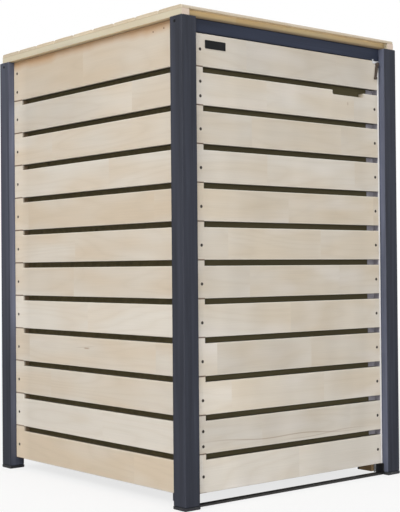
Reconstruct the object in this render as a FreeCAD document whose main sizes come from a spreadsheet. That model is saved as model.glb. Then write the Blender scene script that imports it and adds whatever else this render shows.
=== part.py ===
import FreeCAD, Part
import os

import Sketcher
from FreeCAD import Placement, Rotation, Vector

# Wheelie bin store for one two-wheeled bin: four posts, slatted walls recessed
# between them, a side-hung front door and a lid hinged along the back.
# Millimetres, +Z up, front towards -Y, origin on the floor under the middle.

DRIVING_SIZES = (
    # The posts and the outline they stand on
    ("overall_width", 780),
    ("overall_depth", 865),
    ("post_height", 1200),
    ("post_side", 47),
    ("post_arris", 2),
    ("foot_height", 8),
    ("foot_arris", 1.5),
    # The boards of the walls and of the door
    ("board_count", 12),
    ("board_thickness", 20),
    ("top_board_height", 116.5),
    ("board_joint", 1),
    ("board_arris", 1.2),
    ("slot_height", 15),
    ("ground_clearance", 33),
    ("wall_recess", 20),
    ("wall_end_gap", 1),
    ("wall_top_gap", 1),
    ("wall_horn", 43),
    ("door_horn", 34),
    # The upright battens behind the wall boards
    ("batten_width", 30),
    ("batten_depth", 27),
    ("front_batten_drop", 70),
    ("floor_block_length", 52),
    # The dark panels that close the slots from inside
    ("lining_thickness", 4),
    ("lining_overlap", 16),
    ("lining_end_gap", 1),
    # The rails across the front and the back, and the bar on the floor
    ("header_height", 33),
    ("header_depth", 24),
    ("header_setback", 1),
    ("rear_rail_depth", 30),
    ("threshold_setback", 1.5),
    ("threshold_width", 20),
    ("threshold_height", 5),
    # The cleats inside the side walls, below the lid
    ("cleat_front_distance", 82),
    ("cleat_length", 72),
    ("cleat_height", 30),
    ("cleat_depth", 27),
    ("cleat_top_distance", 8),
    # The door, on a steel angle along each upright edge
    ("door_side_gap", 3),
    ("door_top_gap", 2),
    ("door_stop_gap", 1.5),
    ("angle_thickness", 5),
    ("angle_flange", 32),
    ("grip_width", 125),
    ("grip_depth", 12),
    ("grip_corner", 5),
    ("grip_edge_distance", 62),
    # The hinges: five knuckles on a loose pin
    ("hinge_length", 75),
    ("knuckle_count", 5),
    ("knuckle_radius", 4),
    ("knuckle_gap", 0.3),
    ("hinge_standoff", 0.3),
    ("leaf_width", 20),
    ("leaf_thickness", 1.3),
    ("pin_radius", 2),
    ("pin_clearance", 0.08),
    ("pin_head_radius", 3.2),
    ("pin_head_height", 1.5),
    ("pin_tail", 1.5),
    ("door_hinge_inset", 110),
    ("lid_hinge_spread", 460),
    # The latch at the top of the door's closing edge
    ("latch_edge_distance", 9.5),
    ("latch_top_distance", 10),
    ("latch_play", 0.3),
    ("spindle_radius", 3.2),
    ("spindle_clearance", 0.1),
    ("spindle_board_clearance", 0.6),
    ("plate_thickness", 1.5),
    ("plate_width", 25),
    ("plate_tab_width", 3.5),
    ("plate_tab_rise", 4),
    ("plate_bar_drop", 7.5),
    ("plate_ear_width", 11),
    ("plate_ear_drop", 15.5),
    ("plate_edge_gap", 1),
    ("lever_length", 40),
    ("lever_thickness", 5),
    ("lever_root_width", 7),
    ("lever_tip_width", 5),
    ("lever_hub_radius", 5.6),
    ("lever_hub_height", 6.5),
    ("lever_knob_radius", 3.8),
    ("lever_knob_height", 7.5),
    ("lever_arris", 0.8),
    ("tongue_length", 32),
    ("tongue_width", 12),
    ("tongue_thickness", 3),
    # The lid: a deck on a frame of battens
    ("lid_inset", 5),
    ("lid_rear_inset", 8.5),
    ("lid_front_batten_recess", 13),
    ("lid_batten_width", 24),
    ("lid_batten_height", 17),
    ("deck_thickness", 9),
    ("deck_joint", 1),
    ("deck_count", 9),
    ("deck_arris", 1),
)

LEVER_REST_ANGLE = 11
DOOR_HINGE_COUNT = 3
GRIP_BOARD_FROM_TOP = 2


class Size:
    """A length with its number and the expression of the sheet that it comes from."""

    def __init__(self, value, text):
        self.value = value
        self.text = text

    @staticmethod
    def of(other):
        if isinstance(other, Size):
            return other
        return Size(float(other), str(float(other)))

    def joined(self, other, sign, value):
        return Size(value, f"({self.text} {sign} {Size.of(other).text})")

    def __add__(self, other):
        return self.joined(other, "+", self.value + Size.of(other).value)

    def __sub__(self, other):
        return self.joined(other, "-", self.value - Size.of(other).value)

    def __mul__(self, other):
        return self.joined(other, "*", self.value * Size.of(other).value)

    def __truediv__(self, other):
        return self.joined(other, "/", self.value / Size.of(other).value)

    def __neg__(self):
        return Size(-self.value, f"(-1 * {self.text})")


doc = FreeCAD.newDocument("wheelie_bin_store")
sheet = doc.addObject("Spreadsheet::Sheet", "Sizes")
for row, (alias, number) in enumerate(DRIVING_SIZES, start=1):
    sheet.set(f"A{row}", alias)
    sheet.set(f"B{row}", str(number))
    sheet.setAlias(f"B{row}", alias)
doc.recompute()

parts = []


def size(alias):
    return Size(float(getattr(sheet, alias)), f"Sizes.{alias}")


def count(alias):
    return int(getattr(sheet, alias))


ZERO = Size(0.0, "0")


def new_body(label, x=ZERO, y=ZERO, z=ZERO, rotation=None):
    """An empty body whose origin is bound to a place in the frame."""
    body = doc.addObject("PartDesign::Body", label)
    body.Label = label
    turned = rotation if rotation is not None else Rotation()
    body.Placement = Placement(Vector(x.value, y.value, z.value), turned)
    for axis, place in zip("xyz", (x, y, z)):
        body.setExpression(f"Placement.Base.{axis}", place.text)
    return body


def origin_feature(body, role):
    return next(item for item in body.Origin.OriginFeatures if item.Role == role)


def new_sketch(body, name, plane):
    sketch = body.newObject("Sketcher::SketchObject", name)
    sketch.AttachmentSupport = (origin_feature(body, plane), [""])
    sketch.MapMode = "FlatFace"
    return sketch


def pin_point(sketch, geometry, end, x, y):
    """Ties one point of a sketch to its two distances from the body's origin."""
    for kind, place in (("DistanceX", x), ("DistanceY", y)):
        number = sketch.addConstraint(Sketcher.Constraint(kind, -1, 1, geometry, end, place.value))
        sketch.setExpression(f"Constraints[{number}]", place.text)


def add_outline(sketch, corners):
    """Adds a closed outline of straight lines through the given corners."""
    first = sketch.GeometryCount
    total = len(corners)
    for index in range(total):
        start = corners[index]
        end = corners[(index + 1) % total]
        line = Part.LineSegment(
            Vector(start[0].value, start[1].value, 0), Vector(end[0].value, end[1].value, 0)
        )
        sketch.addGeometry(line, False)
    for index in range(total):
        following = first + (index + 1) % total
        sketch.addConstraint(Sketcher.Constraint("Coincident", first + index, 2, following, 1))
        pin_point(sketch, first + index, 1, *corners[index])


def add_circle(sketch, x, y, radius):
    circle = Part.Circle(Vector(x.value, y.value, 0), Vector(0, 0, 1), radius.value)
    geometry = sketch.addGeometry(circle, False)
    pin_point(sketch, geometry, 3, x, y)
    number = sketch.addConstraint(Sketcher.Constraint("Radius", geometry, radius.value))
    sketch.setExpression(f"Constraints[{number}]", radius.text)


def rectangle(x0, y0, x1, y1):
    return [(x0, y0), (x1, y0), (x1, y1), (x0, y1)]


def pad(body, sketch, length, reverse=False):
    feature = body.newObject("PartDesign::Pad", f"{sketch.Name}_pad")
    feature.Profile = sketch
    feature.Reversed = reverse
    feature.setExpression("Length", length.text)
    feature.Length = length.value
    sketch.Visibility = False
    doc.recompute()
    return feature


def cut_through(body, sketch):
    """Cuts a sketch through the whole body, both ways, and checks that it removed something."""
    before = body.Shape.Volume
    feature = body.newObject("PartDesign::Pocket", f"{sketch.Name}_cut")
    feature.Profile = sketch
    feature.Type = "ThroughAll"
    feature.Midplane = True
    doc.recompute()
    if body.Shape.Volume > before - 1e-3:
        raise RuntimeError(f"{body.Label}: {sketch.Name} cut nothing")
    return feature


def edge_names(shape, wanted):
    return [f"Edge{number}" for number, edge in enumerate(shape.Edges, start=1) if wanted(edge)]


def ease_edges(body, feature, width, wanted):
    """Takes the arris off the edges that the test picks."""
    chamfer = body.newObject("PartDesign::Chamfer", f"{feature.Name}_arris")
    chamfer.Base = (feature, edge_names(feature.Shape, wanted))
    chamfer.setExpression("Size", width.text)
    chamfer.Size = width.value
    doc.recompute()
    return chamfer


def on_plane(axis, place):
    """A test that picks the edges lying in the plane where the axis has the given value."""

    def lies_there(edge):
        return all(abs(getattr(vertex.Point, axis) - place) < 1e-4 for vertex in edge.Vertexes)

    return lies_there


def keep(part):
    parts.append(part)
    return part


def group(label, members):
    """One node that holds identical pieces as separate solids."""
    compound = doc.addObject("Part::Compound", label)
    compound.Label = label
    compound.Links = members
    doc.recompute()
    return keep(compound)


def upright(label, x, y, z, width, depth, height, arris=None):
    """A straight piece with a rectangular section, standing on its own XY plane."""
    body = new_body(label, x, y, z)
    sketch = new_sketch(body, f"{label}_section", "XY_Plane")
    add_outline(sketch, rectangle(ZERO, ZERO, width, depth))
    block = pad(body, sketch, height)
    if arris is not None:
        ease_edges(body, block, arris, lambda edge: True)
    return body


# Places that several pieces share

half_width = size("overall_width") / 2
half_depth = size("overall_depth") / 2
post_side = size("post_side")
post_height = size("post_height")
thickness = size("board_thickness")
joint = size("board_joint")
arris = size("board_arris")
ground = size("ground_clearance")
recess = size("wall_recess")
board_total = count("board_count")
top_board_z = post_height - size("top_board_height")
pitch = (top_board_z - ground) / (board_total - 1)

inner_x = half_width - post_side
inner_y = half_depth - post_side
board_height = pitch - joint
slot_cut = size("slot_height") - joint
wall_top = post_height - size("wall_top_gap")
header_bottom = post_height - size("header_height")
door_top = header_bottom - size("door_top_gap")
door_recess = post_side - thickness - size("angle_thickness") - size("door_stop_gap")
door_front = door_recess - half_depth
door_back = door_front + thickness
door_edge = inner_x - size("door_side_gap")
flange_back = door_back + size("angle_thickness")


# Posts and their plastic feet

feet = []
for row_name, row_y in (("front", -half_depth), ("back", half_depth - post_side)):
    for side_name, side_x in (("left", -half_width), ("right", half_width - post_side)):
        foot = size("foot_height")
        corner_post = upright(
            f"post_{row_name}_{side_name}",
            side_x, row_y, foot,
            post_side, post_side, post_height - foot, size("post_arris"),
        )
        keep(corner_post)
        cap = new_body(f"foot_{row_name}_{side_name}", side_x, row_y, ZERO)
        cap_sketch = new_sketch(cap, f"foot_{row_name}_{side_name}_section", "XY_Plane")
        add_outline(cap_sketch, rectangle(ZERO, ZERO, post_side, post_side))
        cap_pad = pad(cap, cap_sketch, foot)
        ease_edges(cap, cap_pad, size("foot_arris"), on_plane("z", 0.0))
        feet.append(cap)
group("foot_caps", feet)


# Wall boards. Each has its top edge cut back along most of its length, which
# leaves the slot, and a full-height horn at the left end as seen from outside.

def notched(length, height, horn, horn_first):
    cut_line = height - slot_cut
    if horn_first:
        return [
            (ZERO, ZERO), (length, ZERO), (length, cut_line),
            (horn, cut_line), (horn, height), (ZERO, height),
        ]
    return [
        (ZERO, ZERO), (length, ZERO), (length, height),
        (length - horn, height), (length - horn, cut_line), (ZERO, cut_line),
    ]


def board(label, place, plane, outline, reverse, outer_axis, outer_place):
    """A board drawn by its face, with the arris taken off all round its outer face."""
    body = new_body(label, *place)
    sketch = new_sketch(body, f"{label}_face", plane)
    add_outline(sketch, outline)
    blank = pad(body, sketch, thickness, reverse)
    ease_edges(body, blank, arris, on_plane(outer_axis, outer_place))
    return body


wall_end_gap = size("wall_end_gap")
side_length = inner_y * 2 - wall_end_gap * 2
back_length = inner_x * 2 - wall_end_gap * 2


def side_wall(side, board_x, outer_place, horn_first):
    boards = []
    for index in range(board_total):
        z = ground + pitch * index
        if index == board_total - 1:
            outline = rectangle(ZERO, ZERO, side_length, wall_top - top_board_z)
        else:
            outline = notched(side_length, board_height, size("wall_horn"), horn_first)
        place = (board_x, wall_end_gap - inner_y, z)
        label = f"{side}_wall_board_{index + 1:02d}"
        boards.append(board(label, place, "YZ_Plane", outline, False, "x", outer_place))
    return boards


for left_board in side_wall("left", recess - half_width, 0.0, False):
    keep(left_board)
right_boards = side_wall("right", half_width - recess - thickness, thickness.value, True)
group("right_wall_boards", right_boards)

back_boards = []
for index in range(board_total):
    place = (wall_end_gap - inner_x, half_depth - recess, ground + pitch * index)
    label = f"back_wall_board_{index + 1:02d}"
    if index == board_total - 1:
        outline = rectangle(ZERO, ZERO, back_length, header_bottom - joint - top_board_z)
    else:
        outline = notched(back_length, board_height, size("wall_horn"), False)
    back_boards.append(board(label, place, "XZ_Plane", outline, False, "y", 0.0))
group("back_wall_boards", back_boards)


# Upright battens that the wall boards are screwed to. Those of the side walls
# stand against the posts, and the front ones are also what the door shuts on.

batten_width = size("batten_width")
batten_depth = size("batten_depth")
wall_inside_x = half_width - recess - thickness
wall_inside_y = half_depth - recess - thickness
side_battens = []
for side_name, batten_x in (("left", -wall_inside_x), ("right", wall_inside_x - batten_depth)):
    side_battens.append(upright(
        f"{side_name}_wall_batten_front",
        batten_x, -inner_y, ground,
        batten_depth, batten_width, wall_top - size("front_batten_drop") - ground,
    ))
    side_battens.append(upright(
        f"{side_name}_wall_batten_back",
        batten_x, inner_y - batten_width, ground,
        batten_depth, batten_width, wall_top - ground,
    ))
group("side_wall_battens", side_battens)
back_batten_x = wall_inside_x - batten_depth - batten_width
back_battens = []
for side_name, batten_x in (("left", -back_batten_x - batten_width), ("right", back_batten_x)):
    back_battens.append(upright(
        f"back_wall_batten_{side_name}",
        batten_x, wall_inside_y - batten_depth, ground,
        batten_width, batten_depth, header_bottom - ground,
    ))
group("back_wall_battens", back_battens)


# Blocks under the front battens of the side walls. They are longer than the
# battens are wide and show as a low wedge between the door and the floor.

block_length = size("floor_block_length")
floor_blocks = []
for side_name, block_x in (("left", -wall_inside_x), ("right", wall_inside_x - batten_depth)):
    floor_blocks.append(upright(
        f"floor_block_{side_name}",
        block_x, -inner_y, size("foot_height"),
        batten_depth, block_length, ground - size("foot_height"),
    ))
group("floor_blocks", floor_blocks)


# Dark panels on the inside of the boards, between the battens. They reach past
# the lowest and the highest slot, so nothing shows through the slots.

lining = size("lining_thickness")
lining_bottom = ground + pitch - size("slot_height") - size("lining_overlap")
lining_height = top_board_z + size("lining_overlap") - lining_bottom
lining_gap = size("lining_end_gap")
side_lining_end = inner_y - batten_width - lining_gap
for side_name, lining_x in (("left", -wall_inside_x), ("right", wall_inside_x - lining)):
    keep(upright(
        f"{side_name}_wall_lining",
        lining_x, -side_lining_end, lining_bottom,
        lining, side_lining_end * 2, lining_height,
    ))
back_lining_end = back_batten_x - lining_gap
keep(upright(
    "back_wall_lining",
    -back_lining_end, wall_inside_y - lining, lining_bottom,
    back_lining_end * 2, lining, lining_height,
))


# Rails across the front and the back, and the flat bar on the floor

keep(upright(
    "header_rail",
    -inner_x, door_front + size("header_setback"), header_bottom,
    inner_x * 2, size("header_depth"), size("header_height"), arris,
))
lid_back = half_depth - size("lid_rear_inset")
keep(upright(
    "rear_top_rail",
    -inner_x, lid_back - size("rear_rail_depth"), header_bottom,
    inner_x * 2, size("rear_rail_depth"), size("header_height"), arris,
))
keep(upright(
    "threshold_bar",
    -inner_x, door_front + size("threshold_setback"), ZERO,
    inner_x * 2, size("threshold_width"), size("threshold_height"),
))


# Cleats inside the side walls, which the two screws near the wall's top hold

cleat_depth = size("cleat_depth")
cleats = []
for side_name, cleat_x in (("left", -wall_inside_x), ("right", wall_inside_x - cleat_depth)):
    cleats.append(upright(
        f"lid_cleat_{side_name}",
        cleat_x, size("cleat_front_distance") - half_depth,
        post_height - size("cleat_top_distance") - size("cleat_height"),
        cleat_depth, size("cleat_length"), size("cleat_height"),
    ))
group("lid_cleats", cleats)


# Door boards, between the steel angles. The second from the top has the grip,
# and the spindle of the latch goes through the top one.

angle_thickness = size("angle_thickness")
door_length = door_edge * 2 - angle_thickness * 2
board_left = angle_thickness - door_edge
latch_x = door_edge - size("latch_edge_distance")
latch_z = door_top - size("latch_top_distance")
spindle_radius = size("spindle_radius")


def cut_grip(body, cut_line):
    """Deepens the slot into a finger grip with rounded lower corners."""
    right = door_length + angle_thickness - size("grip_edge_distance")
    left = right - size("grip_width")
    bottom = cut_line - size("grip_depth")
    radius = size("grip_corner")
    sketch = new_sketch(body, "grip_outline", "XZ_Plane")
    above = cut_line + size("board_joint")
    add_outline(sketch, rectangle(left, bottom, right, above))
    cut = cut_through(body, sketch)

    def lower_corner(edge):
        along_y = abs(edge.BoundBox.XLength) < 1e-4 and abs(edge.BoundBox.ZLength) < 1e-4
        centre = edge.BoundBox.Center
        at_side = min(abs(centre.x - left.value), abs(centre.x - right.value)) < 1e-3
        return along_y and at_side and abs(centre.z - bottom.value) < 1e-3

    fillet = body.newObject("PartDesign::Fillet", "grip_corners")
    fillet.Base = (cut, edge_names(cut.Shape, lower_corner))
    fillet.setExpression("Radius", radius.text)
    fillet.Radius = radius.value
    doc.recompute()


for index in range(board_total):
    label = f"door_board_{index + 1:02d}"
    last = index == board_total - 1
    if last:
        outline = rectangle(ZERO, ZERO, door_length, door_top - top_board_z)
    else:
        horn = size("door_horn") - angle_thickness
        outline = notched(door_length, board_height, horn, True)
    place = (board_left, door_front, ground + pitch * index)
    door_board = keep(board(label, place, "XZ_Plane", outline, True, "y", 0.0))
    if index == board_total - GRIP_BOARD_FROM_TOP:
        cut_grip(door_board, board_height - slot_cut)
    if last:
        bore = new_sketch(door_board, "latch_bore_board", "XZ_Plane")
        bore_radius = spindle_radius + size("spindle_board_clearance")
        add_circle(bore, latch_x - board_left, latch_z - top_board_z, bore_radius)
        cut_through(door_board, bore)


# Steel angles along the door's edges: one leg closes the board ends, the
# flange lies behind the boards, which are screwed to it

def edge_angle(label, x, inward):
    """inward is 1 where the flange runs towards +X, and -1 where it runs towards -X."""
    body = new_body(label, x, door_front, ground)
    leg = angle_thickness * inward
    flange = size("angle_flange") * inward
    back = thickness + angle_thickness
    sketch = new_sketch(body, f"{label}_section", "XY_Plane")
    add_outline(sketch, [
        (ZERO, ZERO), (leg, ZERO), (leg, thickness),
        (flange, thickness), (flange, back), (ZERO, back),
    ])
    pad(body, sketch, door_top - ground)
    return keep(body)


edge_angle("door_angle_hinge_side", -door_edge, 1)
latch_angle = edge_angle("door_angle_latch_side", door_edge, -1)
bore = new_sketch(latch_angle, "latch_bore_angle", "XZ_Plane")
running_radius = spindle_radius + size("spindle_clearance")
add_circle(bore, latch_x - door_edge, latch_z - ground, running_radius)
cut_through(latch_angle, bore)

door_lining_end = door_edge - size("angle_flange") - lining_gap
keep(upright(
    "door_lining",
    -door_lining_end, door_back, lining_bottom,
    door_lining_end * 2, lining, lining_height,
))


# Butt hinges. In a hinge's own frame the pin runs along Z from 0 to
# hinge_length, and a leaf lies along +Y or -Y at its own distance from the pin.

hinge_length = size("hinge_length")
knuckle_total = count("knuckle_count")
knuckle_pitch = hinge_length / knuckle_total
knuckle_radius = size("knuckle_radius")
leaf_thickness = size("leaf_thickness")
pin_offset = knuckle_radius + size("hinge_standoff")


def hinge_leaf(label, place, rotation, leaf_x, towards, first_knuckle):
    """One leaf with its knuckles: every second one, starting with first_knuckle."""
    body = new_body(label, *place, rotation)
    reach = (pin_offset + size("leaf_width")) * towards
    plate = new_sketch(body, f"{label}_plate", "XY_Plane")
    add_outline(plate, rectangle(leaf_x, ZERO, leaf_x + leaf_thickness, reach))
    pad(body, plate, hinge_length)
    barrel = new_sketch(body, f"{label}_barrel", "XY_Plane")
    add_circle(barrel, ZERO, ZERO, knuckle_radius)
    pad(body, barrel, hinge_length)

    clear = knuckle_radius + size("knuckle_gap")
    windows = new_sketch(body, f"{label}_windows", "YZ_Plane")
    for knuckle in range(knuckle_total):
        if knuckle % 2 == first_knuckle % 2:
            continue
        low = knuckle_pitch * knuckle - size("knuckle_gap") / 2
        high = knuckle_pitch * (knuckle + 1) + size("knuckle_gap") / 2
        add_outline(windows, rectangle(-clear * towards, low, pin_offset * towards, high))
    cut_through(body, windows)

    bore = new_sketch(body, f"{label}_bore", "XY_Plane")
    add_circle(bore, ZERO, ZERO, size("pin_radius") + size("pin_clearance"))
    cut_through(body, bore)
    return body


def hinge_pin(label, place, rotation):
    """A pin with a flat head, turned about its own axis."""
    body = new_body(label, *place, rotation)
    radius = size("pin_radius")
    head_radius = size("pin_head_radius")
    head_top = hinge_length + size("pin_head_height")
    tail = -size("pin_tail")
    sketch = new_sketch(body, f"{label}_profile", "XZ_Plane")
    add_outline(sketch, [
        (ZERO, tail), (radius, tail), (radius, hinge_length),
        (head_radius, hinge_length), (head_radius, head_top), (ZERO, head_top),
    ])
    turned = body.newObject("PartDesign::Revolution", f"{label}_turned")
    turned.Profile = sketch
    turned.ReferenceAxis = (origin_feature(body, "Z_Axis"), [""])
    turned.Angle = 360
    doc.recompute()
    return body


door_axis_x = pin_offset - inner_x
door_axis_y = door_front - pin_offset
door_height = door_top - ground
hinge_inset = size("door_hinge_inset")
lowest_hinge = ground + hinge_inset
hinge_step = (door_height - hinge_inset * 2 - hinge_length) / (DOOR_HINGE_COUNT - 1)
frame_leaves = []
door_leaves = []
door_pins = []
for index in range(DOOR_HINGE_COUNT):
    place = (door_axis_x, door_axis_y, lowest_hinge + hinge_step * index)
    frame_leaf_x = -pin_offset
    door_leaf_x = -door_edge - leaf_thickness - door_axis_x
    frame_leaves.append(
        hinge_leaf(f"door_hinge_frame_leaf_{index + 1}", place, None, frame_leaf_x, 1, 0)
    )
    door_leaves.append(
        hinge_leaf(f"door_hinge_door_leaf_{index + 1}", place, None, door_leaf_x, 1, 1)
    )
    door_pins.append(hinge_pin(f"door_hinge_pin_{index + 1}", place, None))
group("door_hinge_frame_leaves", frame_leaves)
group("door_hinge_door_leaves", door_leaves)
group("door_hinge_pins", door_pins)

# The lid's hinges lie flat on the back: pin along -X, frame leaf down, lid leaf up
lid_hinge_turn = Rotation(Vector(0, 1, 0), Vector(0, 0, -1), Vector(-1, 0, 0), "XYZ")
lid_axis_y = lid_back + pin_offset
rail_leaves = []
lid_leaves = []
lid_pins = []
for name, side in (("left", -1), ("right", 1)):
    middle = size("lid_hinge_spread") / 2 * side
    place = (middle + hinge_length / 2, lid_axis_y, post_height)
    rail_leaves.append(
        hinge_leaf(f"lid_hinge_rail_leaf_{name}", place, lid_hinge_turn, -pin_offset, 1, 0)
    )
    lid_leaves.append(
        hinge_leaf(f"lid_hinge_lid_leaf_{name}", place, lid_hinge_turn, -pin_offset, -1, 1)
    )
    lid_pins.append(hinge_pin(f"lid_hinge_pin_{name}", place, lid_hinge_turn))
group("lid_hinge_rail_leaves", rail_leaves)
group("lid_hinge_lid_leaves", lid_leaves)
group("lid_hinge_pins", lid_pins)


# Latch: a plate on the door's corner, a lever outside and a tongue inside,
# joined by a spindle. Turning the lever up brings the tongue behind the rail.

plate = new_body("latch_plate", door_edge, door_front, door_top)
plate_left = -(size("plate_width") + size("plate_edge_gap"))
plate_right = -size("plate_edge_gap")
tab_right = plate_left + size("plate_tab_width")
sketch = new_sketch(plate, "latch_plate_outline", "XZ_Plane")
bar_bottom = -size("plate_bar_drop")
ear_left = -size("latch_edge_distance") - size("plate_ear_width") / 2
ear_right = -size("latch_edge_distance") + size("plate_ear_width") / 2
add_outline(sketch, [
    (plate_left, bar_bottom), (ear_left, bar_bottom),
    (ear_left, -size("plate_ear_drop")), (ear_right, -size("plate_ear_drop")),
    (ear_right, bar_bottom), (plate_right, bar_bottom),
    (plate_right, -size("plate_edge_gap")), (tab_right, -size("plate_edge_gap")),
    (tab_right, size("plate_tab_rise")), (plate_left, size("plate_tab_rise")),
])
add_circle(sketch, latch_x - door_edge, latch_z - door_top, running_radius)
pad(plate, sketch, size("plate_thickness"))
keep(plate)

play = size("latch_play")
lever_back = door_front - size("plate_thickness") - play
tongue_front = flange_back + play

spindle = new_body("latch_spindle", latch_x, tongue_front, latch_z)
sketch = new_sketch(spindle, "latch_spindle_section", "XZ_Plane")
add_circle(sketch, ZERO, ZERO, spindle_radius)
pad(spindle, sketch, tongue_front - lever_back)
keep(spindle)

lever_turn = Rotation(Vector(0, 1, 0), LEVER_REST_ANGLE)
lever = new_body("latch_lever", latch_x, lever_back, latch_z, lever_turn)
lever_length = size("lever_length")
half_root = size("lever_root_width") / 2
half_tip = size("lever_tip_width") / 2
sketch = new_sketch(lever, "latch_lever_arm", "XZ_Plane")
add_outline(sketch, [
    (-half_root, ZERO), (-half_tip, -lever_length),
    (half_tip, -lever_length), (half_root, ZERO),
])
pad(lever, sketch, size("lever_thickness"))
sketch = new_sketch(lever, "latch_lever_hub", "XZ_Plane")
add_circle(sketch, ZERO, ZERO, size("lever_hub_radius"))
pad(lever, sketch, size("lever_hub_height"))
sketch = new_sketch(lever, "latch_lever_knob", "XZ_Plane")
add_circle(sketch, ZERO, -lever_length, size("lever_knob_radius"))
knob = pad(lever, sketch, size("lever_knob_height"))


def rim_of_hub_or_knob(edge):
    heights = (size("lever_hub_height").value, size("lever_knob_height").value)
    return any(on_plane("y", -height)(edge) for height in heights)


ease_edges(lever, knob, size("lever_arris"), rim_of_hub_or_knob)
keep(lever)

tongue = new_body("latch_tongue", latch_x, tongue_front, latch_z)
half_tongue = size("tongue_width") / 2
sketch = new_sketch(tongue, "latch_tongue_outline", "XZ_Plane")
add_outline(sketch, [
    (half_tongue, -half_tongue), (half_tongue, half_tongue),
    (half_tongue - size("tongue_length"), half_tongue),
    (-size("tongue_length"), ZERO),
    (half_tongue - size("tongue_length"), -half_tongue),
])
pad(tongue, sketch, size("tongue_thickness"), True)
keep(tongue)


# Lid: side battens over the posts, cross battens between them, and the deck

lid_inset = size("lid_inset")
lid_left = lid_inset - half_width
lid_front = lid_inset - half_depth
lid_width = (half_width - lid_inset) * 2
lid_depth = lid_back - lid_front
batten = size("lid_batten_width")
batten_height = size("lid_batten_height")
for name, x in (("left", lid_left), ("right", half_width - lid_inset - batten)):
    keep(upright(
        f"lid_side_batten_{name}", x, lid_front, post_height,
        batten, lid_depth, batten_height,
    ))
cross_x = lid_left + batten
cross_length = lid_width - batten * 2
front_batten_y = lid_front + size("lid_front_batten_recess")
rear_batten_y = lid_back - batten
for name, y in (("front", front_batten_y), ("rear", rear_batten_y)):
    keep(upright(
        f"lid_{name}_batten", cross_x, y, post_height,
        cross_length, batten, batten_height,
    ))
keep(upright(
    "lid_middle_batten", -batten / 2, front_batten_y + batten, post_height,
    batten, rear_batten_y - front_batten_y - batten, batten_height,
))

deck_total = count("deck_count")
deck_joint = size("deck_joint")
deck_pitch = (lid_depth + deck_joint) / deck_total
deck_boards = []
for index in range(deck_total):
    deck_boards.append(upright(
        f"lid_deck_board_{index + 1}",
        lid_left, lid_front + deck_pitch * index, post_height + batten_height,
        lid_width, deck_pitch - deck_joint, size("deck_thickness"), size("deck_arris"),
    ))
group("lid_deck_boards", deck_boards)


# Every object has to be sound before anything is written

doc.recompute()
for item in doc.Objects:
    if "Invalid" in item.State or "Error" in item.State:
        raise RuntimeError(f"{item.Label}: {item.State}")
for part in parts:
    if part.Shape.isNull() or not part.Shape.isValid() or not part.Shape.Solids:
        raise RuntimeError(f"{part.Label}: its shape is not sound")

os.makedirs("parts", exist_ok=True)
for part in parts:
    part.Shape.exportStep(f"parts/{part.Label}.step")
whole = Part.makeCompound([part.Shape for part in parts])
box = whole.BoundBox
print(f"{len(parts)} nodes, {len(whole.Solids)} solids")
print(f"X {box.XMin:.2f} {box.XMax:.2f}  Y {box.YMin:.2f} {box.YMax:.2f}  Z {box.ZMin:.2f} {box.ZMax:.2f}")
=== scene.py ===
import logging
import math
from collections.abc import Iterable
from dataclasses import dataclass, field
from enum import Enum
from fnmatch import fnmatchcase
from functools import reduce

import bmesh
import bpy
from mathutils import Matrix, Vector


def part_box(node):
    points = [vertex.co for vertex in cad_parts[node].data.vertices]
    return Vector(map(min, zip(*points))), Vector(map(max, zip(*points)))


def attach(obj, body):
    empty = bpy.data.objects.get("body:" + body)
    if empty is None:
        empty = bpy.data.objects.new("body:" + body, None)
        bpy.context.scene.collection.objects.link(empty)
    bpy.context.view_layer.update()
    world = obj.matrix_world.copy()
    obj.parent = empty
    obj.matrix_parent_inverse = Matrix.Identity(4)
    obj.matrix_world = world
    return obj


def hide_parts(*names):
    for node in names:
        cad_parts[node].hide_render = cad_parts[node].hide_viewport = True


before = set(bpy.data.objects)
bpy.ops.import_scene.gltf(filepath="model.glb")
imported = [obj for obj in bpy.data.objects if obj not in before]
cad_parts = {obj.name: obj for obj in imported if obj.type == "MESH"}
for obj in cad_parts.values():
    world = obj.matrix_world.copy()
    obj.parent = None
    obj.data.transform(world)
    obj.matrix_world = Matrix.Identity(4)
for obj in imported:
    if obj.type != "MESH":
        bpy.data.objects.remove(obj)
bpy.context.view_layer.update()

logging.basicConfig(level=logging.INFO, format="%(message)s")
log = logging.getLogger("bin_store")

Point = tuple[float, float, float]
Colour = tuple[float, float, float]
Ring = list[bmesh.types.BMVert]
Source = object  # a node's output socket, or a plain value

BOARDS = 12
BOARD_PITCH = 0.0955
GROUND = 0.033
SIDES = (-1.0, 1.0)
WHITE = (1.0, 1.0, 1.0)
JOINT_BROWN = (0.24, 0.15, 0.10)
# colour of the painted highlight on the board arrises along the slots
ARRIS_HIGHLIGHT = (0.80, 0.77, 0.69)
# colour of the painted highlight on the deck's rounded arrises
DECK_ARRIS_HIGHLIGHT = (0.92, 0.90, 0.86)
KNOT_BROWN = (0.20, 0.12, 0.06)
# colour of the painted sheen patches on the boards
SHEEN = (0.72, 0.68, 0.64)
# colour of painted shade, laid where a post shades a face
POST_SHADE = (0.04, 0.042, 0.05)
# colour of the painted shade at the foot of the lid's cross battens
FOOT_SHADE_BROWN = (0.115, 0.080, 0.050)
# colour of the painted shadow below the lid
LID_SHADOW_BROWN = (0.46, 0.27, 0.13)
EARLY_WOOD = (0.72, 0.60, 0.51)
LATE_WOOD = (0.58, 0.40, 0.32)
SEAM_BROWN = (0.36, 0.28, 0.19)


class Run(Enum):
    """The axes along the grain of a board, across it and through its thickness."""

    ACROSS = "XZY"
    ALONG_DEPTH = "YZX"
    DECK = "XYZ"
    UPRIGHT = "ZXY"


class Way(Enum):
    """A direction on a board's face."""

    ALONG = 0
    ACROSS = 1


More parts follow.
